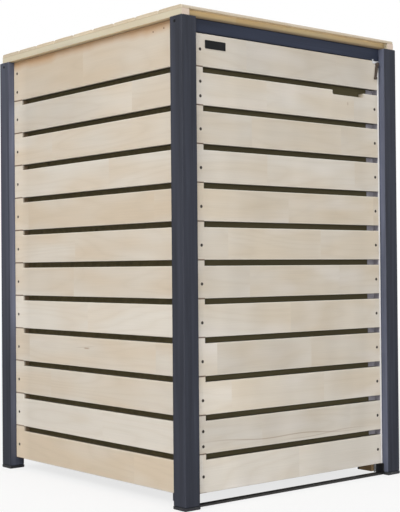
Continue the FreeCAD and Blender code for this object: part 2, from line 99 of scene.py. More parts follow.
class NodeTree:
    """Short calls that add and link the nodes of a material or a geometry tree."""

    def __init__(self, tree: bpy.types.NodeTree) -> None:
        """Keeps the tree."""
        self.tree = tree

    def add(self, kind: str, inputs: dict | None = None, **settings: object) -> bpy.types.Node:
        """Adds a node.

        Args:
            kind: the node's type.
            inputs: what its inputs get, by their names or numbers.
            settings: attributes set on the node.
        Returns:
            The new node.
        """
        node = self.tree.nodes.new(kind)
        for name, value in settings.items():
            setattr(node, name, value)
        for key, source in (inputs or {}).items():
            self.feed(node.inputs[key], source)
        return node

    def feed(self, socket: bpy.types.NodeSocket, source: Source) -> None:
        """Links a socket to another socket, or sets its value.

        Args:
            socket: the input to fill.
            source: an output socket, or a plain value; a colour may lack its alpha.
        """
        if isinstance(source, bpy.types.NodeSocket):
            self.tree.links.new(source, socket)
        elif socket.type == "RGBA" and len(source) == 3:
            socket.default_value = (*source, 1.0)
        else:
            socket.default_value = source

    def math(self, operation: str, first: Source, second: Source = 0.0) -> Source:
        """Works out one number from one or two others."""
        return self.add("ShaderNodeMath", {0: first, 1: second}, operation=operation).outputs[0]

    def times(self, *factors: Source) -> Source:
        """Multiplies numbers, from left to right."""
        return reduce(lambda first, second: self.math("MULTIPLY", first, second), factors)

    def plus(self, *parts: Source) -> Source:
        """Adds numbers, from left to right."""
        return reduce(lambda first, second: self.math("ADD", first, second), parts)

    def apart(self, first: Source, second: Source) -> Source:
        """How far two numbers lie apart."""
        return self.math("ABSOLUTE", self.math("SUBTRACT", first, second))

    def vector(self, *terms: Source) -> Source:
        """Joins three terms into one vector.

        Args:
            terms: numbers, or tuples of a place and its scale, with a shift where there is one.
        Returns:
            The vector's socket.
        """
        parts = [self.plus(self.times(*term[:2]), *term[2:]) if isinstance(term, tuple) else term for term in terms]
        return self.add("ShaderNodeCombineXYZ", dict(enumerate(parts))).outputs[0]

    def split(self, vector: Source) -> dict[str, Source]:
        """The X, Y and Z of a vector."""
        return {socket.name: socket for socket in self.add("ShaderNodeSeparateXYZ", {0: vector}).outputs}

    def noise(self, vector: Source, scale: float, detail: float, rough: float = 0.5) -> Source:
        """A noise value between 0 and 1.

        Args:
            vector: where it is read.
            scale: repeats per metre of that vector.
            detail: octaves.
            rough: strength of the finer octaves.
        Returns:
            The value's socket.
        """
        inputs = {"Vector": vector, "Scale": scale, "Detail": detail, "Roughness": rough}
        return self.add("ShaderNodeTexNoise", inputs).outputs["Fac"]

    def cells(self, vector: Source, scale: float = 1.0) -> Source:
        """The distance to the nearest of some scattered points."""
        return self.add("ShaderNodeTexVoronoi", {"Vector": vector, "Scale": scale}, feature="F1").outputs["Distance"]

    def hashed(self, x: Source, y: Source) -> Source:
        """One steady random number for a pair of whole numbers."""
        vector = self.vector(x, y, 3.7)
        return self.add("ShaderNodeTexWhiteNoise", {"Vector": vector}, noise_dimensions="3D").outputs["Value"]

    def remap(self, *terms: Source) -> Source:
        """Maps a value's range (value, low, high) onto another one (to low, to high) and clamps it."""
        return self.add("ShaderNodeMapRange", dict(enumerate(terms))).outputs[0]

    def mix(self, factor: Source, first: Source, second: Source, blend: str = "MIX") -> Source:
        """Mixes two colours.

        Args:
            factor: how much of the second one.
            first: a colour or its socket.
            second: a colour or its socket.
            blend: the blend mode.
        Returns:
            The colour's socket.
        """
        inputs = {0: factor, 6: first, 7: second}
        return self.add("ShaderNodeMix", inputs, data_type="RGBA", blend_type=blend).outputs[2]


@dataclass(frozen=True)
class Finish:
    """What every finish has: a name, a colour and how rough it is."""

    name: str
    colour: Colour
    roughness: float = 0.6


class Skin(NodeTree):
    """A material's tree, with the place on the piece and the colour and brightness so far."""

    def __init__(self, finish: Finish, run: Run = Run.ACROSS) -> None:
        """Makes the material and reads the place and the way that the faces look.

        Args:
            finish: the finish that the material is for.
            run: the way of the grain.
        """
        self.material = bpy.data.materials.new(finish.name)
        self.material.use_nodes = True
        super().__init__(self.material.node_tree)
        self.shader = self.tree.nodes["Principled BSDF"]
        coordinates = self.add("ShaderNodeTexCoord")
        self.place = coordinates.outputs["Object"]
        self.axes = self.split(self.place)
        self.facing = self.split(coordinates.outputs["Normal"])
        self.along, self.across, self.deep = (self.axes[name] for name in run.value)
        self.colour: Source = finish.colour
        self.level: Source = 1.0

    def cover(self, factor: Source, colour: Source) -> None:
        """Lays another colour over the one so far."""
        self.colour = self.mix(factor, self.colour, colour)

    def lighten(self, factor: Source) -> None:
        """Multiplies the brightness so far."""
        self.level = self.times(self.level, factor)

    def shade(self) -> None:
        """Takes the brightness so far into the colour."""
        self.colour = self.mix(1.0, self.colour, self.vector(self.level, self.level, self.level), "MULTIPLY")
        self.level = 1.0

    def coat(self, roughness: Source, gloss: float = 0.5, metallic: float = 0.0) -> None:
        """Hands the shader its colour and how it shines.

        Args:
            roughness: the roughness.
            gloss: the specular level.
            metallic: how metallic it is.
        """
        names = ("Base Color", "Roughness", "Specular IOR Level", "Metallic")
        for name, source in zip(names, (self.colour, roughness, gloss, metallic)):
            self.feed(self.shader.inputs[name], source)

    def relief(self, height: Source, metres: float) -> None:
        """Adds a relief of so many metres to the shader."""
        bump = self.add("ShaderNodeBump", {"Strength": 0.6, "Distance": metres, "Height": height})
        self.feed(self.shader.inputs["Normal"], bump.outputs[0])


@dataclass(frozen=True)
class Mark:
    """A knot, a dark ring line or a stretch of another tone, at its place on a board."""

    along: float
    across: float
    half_length: float
    half_height: float
    slope: float = 0.0
    strength: float = 0.6
    colour: Colour = (0.27, 0.15, 0.075)


@dataclass(frozen=True)
class Lift:
    """A stretch of painted light or shade, in which the brightness of the boards goes from one level to another."""

    way: Way
    start: float
    end: float
    first: float
    last: float


class Boards(Skin):
    """The tree of a boarded surface, with random numbers for each board and for each length of wood in it."""

    def __init__(self, finish: "Softwood") -> None:
        """Numbers the boards and their lengths.

        Args:
            finish: the finish of the boards.
        """
        super().__init__(finish, finish.run)
        self.finish = finish
        self.rows = self.math("DIVIDE", self.math("SUBTRACT", self.across, finish.start_of_rows), finish.pitch)
        self.row = self.math("MINIMUM", self.math("FLOOR", self.rows), float(finish.last_row))
        self.row_number = self.hashed(self.row, len(finish.name))
        shifted = self.plus(self.along, self.times(self.row_number, 0.9))
        length = self.math("FLOOR", self.math("DIVIDE", shifted, finish.length_of_pieces))
        self.length_number = self.hashed(self.plus(length, self.times(self.row, 7.0)), 1.0)
        self.offset = self.times(self.length_number, 19.0)
        self.paler = self.chosen(finish.pale_rows)

    def chosen(self, rows: tuple[int, ...]) -> Source:
        """Whether a board is one of the rows given.

        Args:
            rows: the numbers of the rows, from the bottom.
        Returns:
            A socket that is 1 on those boards and 0 on the others.
        """
        same = [self.math("LESS_THAN", self.apart(self.row, float(number)), 0.5) for number in rows]
        return reduce(lambda first, second: self.math("MAXIMUM", first, second), same, 0.0)

    def grain(self) -> tuple[Source, Source]:
        """Works out the fine streaks and the ring lines.

        Returns:
            The sockets of the streaks and of the ring lines.
        """
        place = self.vector((self.along, 1.3, self.offset), (self.across, 9.0, self.offset), (self.deep, 9.0))
        wave = self.math("PINGPONG", self.times(self.noise(place, 1.0, 1.5, 0.35), 13.0), 0.5)
        fine = self.vector((self.along, 7.0, self.offset), (self.across, 330.0), (self.deep, 330.0))
        return self.noise(fine, 1.0, 3.0, 0.6), self.math("POWER", self.remap(wave, 0.0, 0.5, 0.0, 1.0), 2.4)

    def coloured(self) -> None:
        """Lets the colour wander between the pale and the warm one."""
        finish = self.finish
        place = self.vector((self.along, 3.4, self.offset), (self.across, 13.0, self.offset), (self.deep, 5.0))
        clouds = self.noise(place, 1.0, 1.5, 0.5)
        lean = self.remap(self.hashed(self.row, 8.1), 0.0, 1.0, -0.15, 0.15)
        lean = self.plus(lean, self.times(self.chosen(finish.warm_rows), 0.5))
        lean = self.math("SUBTRACT", lean, self.times(self.paler, 0.45))
        warmth = self.plus(self.remap(clouds, 0.34, 0.66, 0.05, 0.75), lean)
        self.cover(self.remap(warmth, 0.0, 1.0, 0.0, 1.0), finish.warm)

    def toned(self, streaks: Source) -> None:
        """Works out how bright each board, length and stretch of board is.

        Args:
            streaks: the fine streaks.
        """
        finish = self.finish
        spread = finish.tone_spread
        self.lighten(self.remap(self.length_number, 0.0, 1.0, 1.0 - spread, 1.0 + spread * 0.6))
        self.lighten(self.plus(1.0, self.times(self.paler, 0.05)))
        self.lighten(self.remap(streaks, 0.25, 0.75, 0.96, 1.025))
        # painted light and shade: ramps of brightness along or across the boards
        for lift in finish.lifts:
            place = (self.along, self.across)[lift.way.value]
            self.lighten(self.remap(place, lift.start, lift.end, lift.first, lift.last))
        for tone in finish.tones:
            length, height = tone.half_length, tone.half_height
            ends = self.remap(self.apart(self.along, tone.along), length * 0.4, length, tone.strength, 0.0)
            sides = self.remap(self.apart(self.across, tone.across), height * 0.85, height, 1.0, 0.0)
            self.lighten(self.plus(1.0, self.times(ends, sides)))
        if finish.bands:
            place = self.vector((self.along, 11.0, self.offset), (self.row, 5.3), (self.across, 2.0))
            bands = self.noise(place, 1.0, 1.0, 0.6)
            self.lighten(self.remap(bands, 0.3, 0.7, 1.0 - finish.bands, 1.0 + finish.bands))

    def knotted(self) -> None:
        """Scatters the knots and draws the marks that have a fixed place."""
        finish = self.finish
        along = self.plus(self.along, self.times(self.row_number, 2.0))
        knot = self.cells(self.vector((along, 3.6), (self.across, 9.5), 0.31))
        chosen = self.math("GREATER_THAN", self.hashed(self.row, 4.4), 0.66)
        self.cover(self.times(self.remap(knot, 0.018, 0.060, 0.55 * finish.knots, 0.0), chosen), KNOT_BROWN)
        self.cover(self.times(self.remap(knot, 0.05, 0.22, 0.20 * finish.knots, 0.0), chosen), finish.shade)
        for mark in finish.marks:
            reach = self.math("SUBTRACT", self.along, mark.along)
            middle = self.plus(self.times(reach, mark.slope), mark.across)
            if mark.slope:
                wave = self.math("SINE", self.times(reach, 21.0))
                middle = self.plus(middle, self.times(wave, mark.half_height * 1.6))
            length, height = mark.half_length, mark.half_height
            ends = self.remap(self.math("ABSOLUTE", reach), length * 0.4, length, 1.0, 0.0)
            sides = self.remap(self.apart(self.across, middle), height * 0.3, height, 1.0, 0.0)
            self.cover(self.times(ends, sides, mark.strength), mark.colour)

    def joint(self) -> None:
        """Browns the joint over each horn and paints a highlight on the arrises along the slots."""
        finish = self.finish
        side = self.times(self.math("SIGN", self.deep), -1.0 if finish.run is Run.ALONG_DEPTH else 1.0)
        horn = self.math("GREATER_THAN", self.times(self.along, side), finish.horn_from)
        below_the_top = self.math("LESS_THAN", self.rows, finish.last_row + 0.5)
        aside = self.times(self.apart(self.rows, self.math("ROUND", self.rows)), finish.pitch)
        line = self.times(self.remap(aside, 0.0008, 0.0028, 1.0, 0.0), below_the_top)
        self.cover(self.times(line, self.remap(horn, 0.0, 1.0, 0.10, finish.joint_line)), JOINT_BROWN)
        height = self.times(self.math("FRACT", self.rows), finish.pitch)
        lower = self.times(self.remap(height, 0.0015, 0.0035, 1.0, 0.0), below_the_top)
        upper = self.times(self.remap(height, 0.0770, 0.0790, 0.0, 1.0),
                           self.math("LESS_THAN", self.rows, float(finish.last_row)))
        # painted highlight: the arrises above and below each slot, away from the horns, are paled as if lit
        pale = self.times(self.math("MAXIMUM", lower, upper), self.math("SUBTRACT", 1.0, horn))
        self.cover(self.times(pale, finish.arris_highlight), ARRIS_HIGHLIGHT)

    def on_the_faces(self) -> None:
        """Paints warm light on the undersides, a highlight on the rounded arrises and the post's shade on the end of a
        piece.
        """
        finish = self.finish
        x, y, z = self.facing.values()
        # painted light: faces that look down are tinted warmer and brighter, standing in for warm light from below
        if finish.underside_light:
            below = self.remap(z, -0.9, -0.5, finish.underside_light, 0.0)
            tint = [self.plus(1.0, self.times(below, share)) for share in (1.0, 0.78, 0.40)]
            self.colour = self.mix(1.0, self.colour, self.vector(*tint), "MULTIPLY")
        # painted highlight: the rounded arrises that look up and to the side are paled
        if finish.deck_arris_highlight:
            aside = self.remap(self.math("ABSOLUTE", y), 0.12, 0.45, 0.0, finish.deck_arris_highlight)
            self.cover(self.times(aside, self.remap(z, 0.05, 0.30, 0.0, 1.0)), DECK_ARRIS_HIGHLIGHT)
        # painted shade: on faces that look left, behind the given depth, the post's shade is painted
        if finish.post_shade_from:
            end = self.math("GREATER_THAN", self.axes["Y"], finish.post_shade_from)
            self.cover(self.times(end, self.math("LESS_THAN", x, -0.3)), POST_SHADE)

    def at_the_edges(self) -> None:
        """Adds the painted shade at the foot, the painted shadow of the lid at the top, the sawn ends, the seam and the
        painted shade in the slots.
        """
        finish = self.finish
        cut_ends = self.math("GREATER_THAN", self.math("ABSOLUTE", self.facing[finish.run.value[0]]), 0.7)
        # painted shade: the lowest few millimetres darken to brown, as shade where the battens sit on the parts below
        if finish.foot_shade_from:
            self.cover(self.remap(self.across, finish.foot_shade_from, finish.foot_shade_from + 0.0055, 0.85, 0.0), FOOT_SHADE_BROWN)
        # painted shadow: a warm brown band with a wavy lower edge, below the lid
        if finish.lid_shadow_from:
            wander = self.noise(self.vector((self.along, 9.0), 0.3, 0.6), 1.0, 2.0, 0.5)
            level = self.plus(self.across, self.remap(wander, 0.3, 0.7, -0.006, 0.006))
            self.cover(self.remap(level, finish.lid_shadow_from, finish.lid_shadow_from + 0.024, 0.0, 0.85), LID_SHADOW_BROWN)
        if finish.end_grain:
            years = self.math("PINGPONG", self.plus(self.times(self.across, 310.0), self.times(self.deep, 140.0)), 0.5)
            cut = self.mix(self.remap(years, 0.1, 0.4, 0.0, 0.6), EARLY_WOOD, LATE_WOOD)
            self.cover(self.times(cut_ends, finish.end_grain), cut)
        if finish.seam:
            self.cover(self.remap(self.apart(self.axes["Z"], finish.seam), 0.0006, 0.0014, 0.35, 0.0), SEAM_BROWN)
        # painted shade in the slots: edges darken with depth behind the face, cut ends to the horn-end or warm colour
        if finish.face:
            edge = self.math("LESS_THAN", self.math("ABSOLUTE", self.facing[finish.run.value[2]]), 0.35)
            behind = self.math("SUBTRACT", finish.face, self.math("ABSOLUTE", self.deep))
            cut = self.mix(self.math("GREATER_THAN", self.along, finish.pale_cut_from), finish.horn_end, finish.warm)
            self.cover(self.times(edge, self.remap(behind, 0.0015, 0.0085, 0.0, 1.0)),
                       self.mix(cut_ends, finish.hollow, cut))


@dataclass(frozen=True)
class Softwood(Finish):
    """Planed softwood: boards and lengths of their own tone, fine grain, ring lines and a few knots.

    A field left at 0 or empty leaves its part of the finish out.
    """

    run: Run = Run.ACROSS
    warm: Colour = (0.590, 0.485, 0.362)
    shade: Colour = (0.45, 0.36, 0.25)
    pitch: float = BOARD_PITCH
    start_of_rows: float = GROUND
    last_row: int = 99
    length_of_pieces: float = 4.0
    tone_spread: float = 0.06
    bands: float = 0.0
    rings: float = 0.13
    knots: float = 1.0
    painted_sheen: float = 0.0
    warm_rows: tuple[int, ...] = ()
    pale_rows: tuple[int, ...] = ()
    lifts: tuple[Lift, ...] = ()
    tones: tuple[Mark, ...] = ()
    marks: tuple[Mark, ...] = ()
    face: float = 0.0
    # colours of the painted shade on the board edges and cut ends inside the slots
    hollow: Colour = (0.085, 0.070, 0.038)
    horn_end: Colour = (0.30, 0.20, 0.12)
    pale_cut_from: float = 9.0
    joint_line: float = 0.0
    horn_from: float = 0.0
    arris_highlight: float = 0.0
    underside_light: float = 0.0
    deck_arris_highlight: float = 0.0
    post_shade_from: float = 0.0
    foot_shade_from: float = 0.0
    lid_shadow_from: float = 0.0
    end_grain: float = 0.0
    seam: float = 0.0

    def build(self) -> bpy.types.Material:
        """Makes the material.

        Returns:
            The material.
        """
        wood = Boards(self)
        streaks, ring_line = wood.grain()
        wood.coloured()
        wood.toned(streaks)
        wood.cover(wood.times(ring_line, self.rings), self.shade)
        # painted sheen: pale patches laid over the boards where they look glossy
        if self.painted_sheen:
            place = wood.vector((wood.along, 5.0, wood.times(wood.offset, 1.7)), (wood.across, 14.0, wood.offset), 0.7)
            wood.cover(wood.remap(wood.noise(place, 1.0, 1.0, 0.4), 0.55, 0.80, 0.0, self.painted_sheen), SHEEN)
        wood.knotted()
        wood.shade()
        if self.joint_line:
            wood.joint()
        wood.on_the_faces()
        wood.at_the_edges()
        wood.coat(wood.remap(streaks, 0.2, 0.8, self.roughness - 0.07, self.roughness + 0.07), gloss=0.28)
        wood.relief(wood.plus(streaks, wood.times(ring_line, 0.35)), 0.00035)
        return wood.material


@dataclass(frozen=True)
class StainedWood(Finish):
    """Opaque stain through which the grain still shows as relief and as a change of tone."""

    run: Run = Run.UPRIGHT
    worn: Colour = (0.16, 0.165, 0.19)
    panel_light: float = 0.0
    streaked: float = 0.15

    def painted_light(self, skin: Skin) -> None:
        """Paints light and shade: lightens the faces that look towards the panels, and with height the rear posts.

        Args:
            skin: the material's tree.
        """
        x, y, height = skin.axes.values()
        outward = skin.plus(skin.times(skin.facing["X"], skin.math("SIGN", x)),
                            skin.times(skin.facing["Y"], skin.math("SIGN", y)))
        inner = skin.math("LESS_THAN", outward, -0.5)
        outer_lift = skin.remap(height, 0.30, 0.62, 1.0, 1.62)
        inner_lift = skin.times(skin.remap(height, 0.03, 0.45, 0.62, 1.20), skin.remap(height, 1.03, 1.09, 1.0, 0.75))
        lift = skin.plus(skin.times(inner_lift, inner), skin.times(outer_lift, skin.math("SUBTRACT", 1.0, inner)))
        rear = skin.math("GREATER_THAN", y, 0.0)
        skin.lighten(skin.plus(1.0, skin.times(inner, self.panel_light)))
        skin.lighten(skin.plus(1.0, skin.times(rear, skin.math("SUBTRACT", lift, 1.0))))
        skin.shade()

    def build(self) -> bpy.types.Material:
        """Makes the material.

        Returns:
            The material.
        """
        skin = Skin(self, self.run)
        place = (skin.along, skin.across, skin.deep)
        fine, broad, knots = (skin.vector(*zip(place, scales)) for scales in (
            (6.0, 420.0, 420.0), (2.2, 60.0, 60.0), (1.3, 9.0, 9.0)))
        fine = skin.noise(fine, 1.0, 3.0, 0.6)
        skin.cover(skin.remap(fine, 0.55, 0.85, 0.0, 0.45), self.worn)
        skin.lighten(skin.remap(skin.noise(broad, 1.0, 2.0, 0.5), 0.3, 0.7, 1.0 - self.streaked, 1.0 + self.streaked))
        skin.lighten(skin.remap(skin.cells(knots), 0.02, 0.09, 0.55, 1.0))
        skin.shade()
        # painted light and shade on the posts
        if self.panel_light:
            self.painted_light(skin)
        skin.coat(skin.remap(fine, 0.2, 0.8, self.roughness - 0.06, self.roughness + 0.08), gloss=0.18)
        skin.relief(fine, 0.0004)
        return skin.material


@dataclass(frozen=True)
class Metal(Finish):
    """Coated or bare metal with a spangled, lightly clouded surface, and a bright line along the front edge where it
    has one.
    """

    metallic: float = 1.0
    cloud: float = 45.0
    spread: float = 0.18
    bright_edge: Colour | None = None
    edge_place: float = -0.4110

    def build(self) -> bpy.types.Material:
        """Makes the material.

        Returns:
            The material.
        """
        skin = Skin(self)
        clouds = skin.noise(skin.place, self.cloud, 3.0, 0.55)
        skin.lighten(skin.remap(clouds, 0.3, 0.7, 1.0 - self.spread, 1.0 + self.spread * 0.4))
        skin.lighten(skin.remap(skin.cells(skin.place, 160.0), 0.0, 0.8, 1.05, 0.93))
        skin.shade()
        # a bright line along the front edge of the piece
        if self.bright_edge:
            bright = skin.remap(skin.axes["Y"], self.edge_place, self.edge_place + 0.001, 1.0, 0.0)
            skin.cover(bright, self.bright_edge)
        roughness = skin.remap(clouds, 0.3, 0.7, self.roughness - 0.08, self.roughness + 0.10)
        skin.coat(roughness, metallic=self.metallic)
        skin.relief(skin.noise(skin.place, 900.0, 2.0, 0.5), 0.00006)
        return skin.material


@dataclass(frozen=True)
class MouldedPlastic(Finish):
    """Plastic with the fine grain of a mould and a little dust on it."""

    dust: Colour = (0.16, 0.155, 0.15)
    gloss: float = 0.4

    def build(self) -> bpy.types.Material:
        """Makes the material.

        Returns:
            The material.
        """
        skin = Skin(self)
        smudge = skin.noise(skin.place, 38.0, 3.0, 0.6)
        skin.cover(skin.remap(smudge, 0.5, 0.8, 0.0, 0.35), self.dust)
        skin.coat(skin.remap(smudge, 0.3, 0.7, self.roughness - 0.1, self.roughness + 0.1), self.gloss)
        skin.relief(skin.noise(skin.place, 1400.0, 2.0, 0.5), 0.00008)
        return skin.material


@dataclass(frozen=True)
class PaleFloor(Finish):
    """A pale floor that the camera sees as white away from the shadow, and that throws back half the light."""

    whitening: float = 0.76
    thrown_back: float = 0.55
    fade_from: float = 1.6
    fade_to: float = 6.5

    def build(self) -> bpy.types.Material:
        """Makes the material.

        Returns:
            The material.
        """
        skin = Skin(self)
        seen = skin.add("ShaderNodeLightPath").outputs["Is Camera Ray"]
        skin.lighten(skin.remap(skin.noise(skin.place, 3.0, 2.0, 0.5), 0.3, 0.7, 0.985, 1.0))
        skin.lighten(skin.remap(seen, 0.0, 1.0, self.thrown_back, 1.0))
        skin.shade()
        skin.coat(self.roughness, gloss=0.1)
        white = skin.add("ShaderNodeEmission", {"Color": WHITE, "Strength": 1.0}).outputs[0]
        reach = skin.add("ShaderNodeVectorMath", {0: skin.place}, operation="LENGTH").outputs["Value"]
        far = skin.remap(reach, self.fade_from, self.fade_to, self.whitening, 1.0)
        mix = skin.add("ShaderNodeMixShader", {0: skin.times(seen, far), 1: skin.shader.outputs[0], 2: white})
        skin.feed(skin.tree.nodes["Material Output"].inputs["Surface"], mix.outputs[0])
        return skin.material


@dataclass
class Finishes:
    """Every finish of the store, made once."""

    made: dict[str, bpy.types.Material] = field(default_factory=dict)
    pale: Colour = (0.640, 0.592, 0.520)

    def walls(self) -> tuple[Softwood, ...]:
        """The softwood of the door, the walls and the floor blocks.

        Returns:
            The finishes.
        """
        slatted = {"colour": self.pale, "roughness": 0.58, "last_row": BOARDS - 1}
        # painted light on the lowest boards, and painted shade on the top board
        foot, head = (Way.ACROSS, 0.115, 0.150), (Way.ACROSS, 1.0830, 1.0840)
        head_shade = Lift(*head, 1.0, 0.95)
        return (
            Softwood(
                "door_softwood", **slatted, run=Run.ACROSS, warm=(0.600, 0.515, 0.400), face=0.412,
                length_of_pieces=0.33, bands=0.035, knots=0.0, pale_rows=(0,), warm_rows=(7,), painted_sheen=0.5,
                joint_line=0.75, horn_from=0.306, arris_highlight=0.35, pale_cut_from=0.15,
                # painted light: door boards lightened towards both upright edges and at the foot; painted shade on the
                # top board
                lifts=(Lift(Way.ALONG, 0.265, 0.335, 1.0, 1.12), Lift(Way.ALONG, -0.337, -0.300, 1.06, 1.0),
                       Lift(Way.ALONG, -0.330, -0.190, 1.10, 1.0), Lift(*foot, 1.10, 1.0), head_shade),
                tones=(Mark(-0.300, 0.749, 0.16, 0.052, strength=0.11), Mark(-0.260, 0.272, 0.24, 0.052, strength=0.12),
                       Mark(0.240, 0.080, 0.30, 0.052, strength=-0.13)),
                marks=(Mark(-0.04, 0.1475, 0.30, 0.0019, slope=-0.028, strength=0.45),
                       Mark(0.12, 0.1400, 0.20, 0.0016, slope=0.020, strength=0.30),
                       Mark(0.213, 1.0350, 0.0022, 0.0060, strength=0.5), Mark(0.300, 0.2150, 0.0050, 0.0035))),
            Softwood(
                "back_wall_softwood", **slatted, run=Run.ACROSS, face=0.4125, joint_line=0.75, horn_from=0.299,
                arris_highlight=0.3),
            Softwood(
                "side_wall_softwood", **slatted, run=Run.ALONG_DEPTH, warm=(0.600, 0.500, 0.380), face=0.370,
                length_of_pieces=0.6, tone_spread=0.035, bands=0.012, knots=0.0, warm_rows=(0, 7, 11),
                # painted shadow of the lid on the top boards, from the given height up
                pale_rows=(1, 4), joint_line=0.8, horn_from=0.3415, arris_highlight=0.3, lid_shadow_from=1.171,
                horn_end=(0.20, 0.14, 0.085),
                # painted light: side wall boards lightened towards the rear end and at the foot; painted shade on the
                # top board
                lifts=(Lift(Way.ALONG, 0.310, 0.380, 1.0, 1.22), Lift(*foot, 1.09, 1.0), head_shade),
                tones=(Mark(0.200, 1.036, 0.34, 0.052, strength=-0.13),),
                marks=(Mark(0.013, 0.371, 0.016, 0.0028),
                       Mark(0.02, 0.374, 0.05, 0.0016, slope=-0.12, strength=0.25))),
            Softwood(
                # painted shade: a dark brown base for blocks that stand in the store's shade, and the post's shade on
                # their rear end
                "floor_block_softwood", (0.34, 0.235, 0.125), 0.66, Run.ALONG_DEPTH, warm=(0.29, 0.19, 0.095),
                shade=(0.22, 0.13, 0.06), pitch=0.2, start_of_rows=-0.1, knots=0.0, post_shade_from=-0.340),
        )

    def lid(self) -> tuple[Softwood, ...]:
        """The softwood of the lid.

        Returns:
            The finishes.
        """
        batten = {"roughness": 0.6, "pitch": 0.2, "start_of_rows": 1.1, "knots": 0.0}
        return (
            Softwood(
                "lid_softwood_deck", (0.66, 0.57, 0.44), 0.6, Run.DECK, warm=(0.62, 0.51, 0.36), pitch=0.0947,
                start_of_rows=-0.4275, length_of_pieces=0.41, tone_spread=0.1, seam=1.2225, underside_light=0.45,
                # painted warm light on the undersides and painted highlight on the rounded arrises
                deck_arris_highlight=0.28),
            Softwood(
                "lid_softwood_side", (0.63, 0.58, 0.44), **batten, run=Run.ALONG_DEPTH, warm=(0.62, 0.53, 0.38),
                # painted warm light on the undersides
                rings=0.35, end_grain=0.8, seam=1.2163, underside_light=0.35),
            Softwood(
                # painted shade: a darker, yellower base than the deck and side battens, for the shade under the deck's
                # overhang; painted light on their upper edge and painted shade at their foot
                "lid_softwood_cross", (0.565, 0.450, 0.250), **batten, run=Run.ACROSS, warm=(0.55, 0.38, 0.18),
                rings=0.3, foot_shade_from=1.2025, lifts=(Lift(Way.ACROSS, 1.2100, 1.2165, 1.0, 1.22),)),
        )

    def others(self) -> tuple[Finish, ...]:
        """The stained wood, the metal, the plastic and the floor.

        Returns:
            The finishes.
        """
        return (
            StainedWood("post_anthracite", (0.030, 0.033, 0.046), 0.52, Run.UPRIGHT, worn=(0.075, 0.082, 0.103),
                        panel_light=2.7, streaked=0.26),
            StainedWood("rail_anthracite", (0.022, 0.028, 0.049), 0.52, Run.ACROSS, worn=(0.055, 0.063, 0.092),
                        streaked=0.26),
            StainedWood("lining_dark_brown", (0.102, 0.083, 0.041), 0.85, Run.ACROSS, worn=(0.120, 0.098, 0.054)),
            # a darker copy of the lining, painted shade for the lining behind the door
            StainedWood("lining_behind_door", (0.086, 0.072, 0.037), 0.85, Run.ACROSS, worn=(0.102, 0.085, 0.048)),
            Metal("galvanised_angle", (0.36, 0.345, 0.385), 0.6, metallic=0.1, bright_edge=(0.93, 0.91, 0.88)),
            Metal("zinc_plated", (0.78, 0.79, 0.80), 0.36, metallic=0.75, cloud=90.0),
            Metal("dark_bronze_coating", (0.085, 0.065, 0.052), 0.38, metallic=0.55),
            Metal("threshold_coating", (0.045, 0.042, 0.040), 0.5, metallic=0.3),
            Metal("bracket_coating", (0.012, 0.012, 0.014), 0.45, metallic=0.2),
            Metal("screw_head_dark", (0.040, 0.030, 0.022), 0.5, metallic=0.3, cloud=300.0),
            Metal("screw_head_brown", (0.20, 0.12, 0.075), 0.5, metallic=0.4, cloud=300.0),
            MouldedPlastic("foot_plastic", (0.022, 0.023, 0.028), 0.5),
            MouldedPlastic("plate_plastic", (0.0045, 0.005, 0.006), 0.42, dust=(0.02, 0.021, 0.023), gloss=0.15),
            PaleFloor("pale_floor", (0.86, 0.86, 0.86), 0.8),
        )

    def build(self) -> "Finishes":
        """Makes all the materials.

        Returns:
            The finishes, with their materials.
        """
        for finish in (*self.walls(), *self.lid(), *self.others()):
            self.made[finish.name] = finish.build()
        return self


@dataclass
class Dressing:
    """Says which finish each solid of the store wears; the first name or pattern that fits counts."""

    finishes: Finishes
    wear: tuple[tuple[str, str], ...] = (
        ("post_anthracite", "post_* *_battens"),
        ("side_wall_softwood", "left_wall_board* right_wall_board*"),
        ("door_softwood", "door_board*"),
        ("back_wall_softwood", "back_wall_board*"),
        ("lining_dark_brown", "*wall_lining"),
        ("lining_behind_door", "door_lining"),
        ("galvanised_angle", "door_angle*"),
        ("foot_plastic", "foot_caps"),
        ("rail_anthracite", "header_rail rear_top_rail"),
        ("threshold_coating", "threshold_bar"),
        ("floor_block_softwood", "floor_blocks"),
        ("dark_bronze_coating", "latch_lever"),
        ("zinc_plated", "*hinge* latch_*"),
        ("lid_softwood_deck", "lid_deck_boards"),
        ("lid_softwood_cross", "lid_front_batten lid_rear_batten"),
        ("lid_softwood_side", "lid_*"),
    )

    def finish_of(self, node: str) -> str:
        """The name of the finish for a node."""
        return next(name for name, worn_by in self.wear if any(fnmatchcase(node, one) for one in worn_by.split()))

    def build(self) -> None:
        """Gives every carried-over solid its finish, in its material slots only."""
        for node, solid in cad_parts.items():
            name = self.finish_of(node)
            for slot in solid.material_slots:
                slot.link = "OBJECT"
                slot.material = self.finishes.made[name]
            if not solid.material_slots:
                solid.data.materials.append(self.finishes.made[name])
            log.info("dressed %s in %s", node, name)


def band(work: bmesh.types.BMesh, first: Ring, second: Ring) -> None:
    """Joins two rings of points by a band of faces.

    Args:
        work: the mesh that takes the faces.
        first: one ring.
        second: the next one, with as many points.
    """
    for index in range(len(first)):
        following = (index + 1) % len(first)
        work.faces.new((first[index], first[following], second[following], second[index]))


def loft(work: bmesh.types.BMesh, rings: list[Ring]) -> None:
    """Joins rings of points one after the other and closes both ends.

    Args:
        work: the mesh that takes the faces.
        rings: the rings, each with as many points.
    """
    for first, second in zip(rings, rings[1:]):
        band(work, first, second)
    work.faces.new(rings[-1])
    work.faces.new(list(reversed(rings[0])))


def linked(thing: bpy.types.Object) -> bpy.types.Object:
    """Links an object to the scene."""
    bpy.context.collection.objects.link(thing)
    return thing


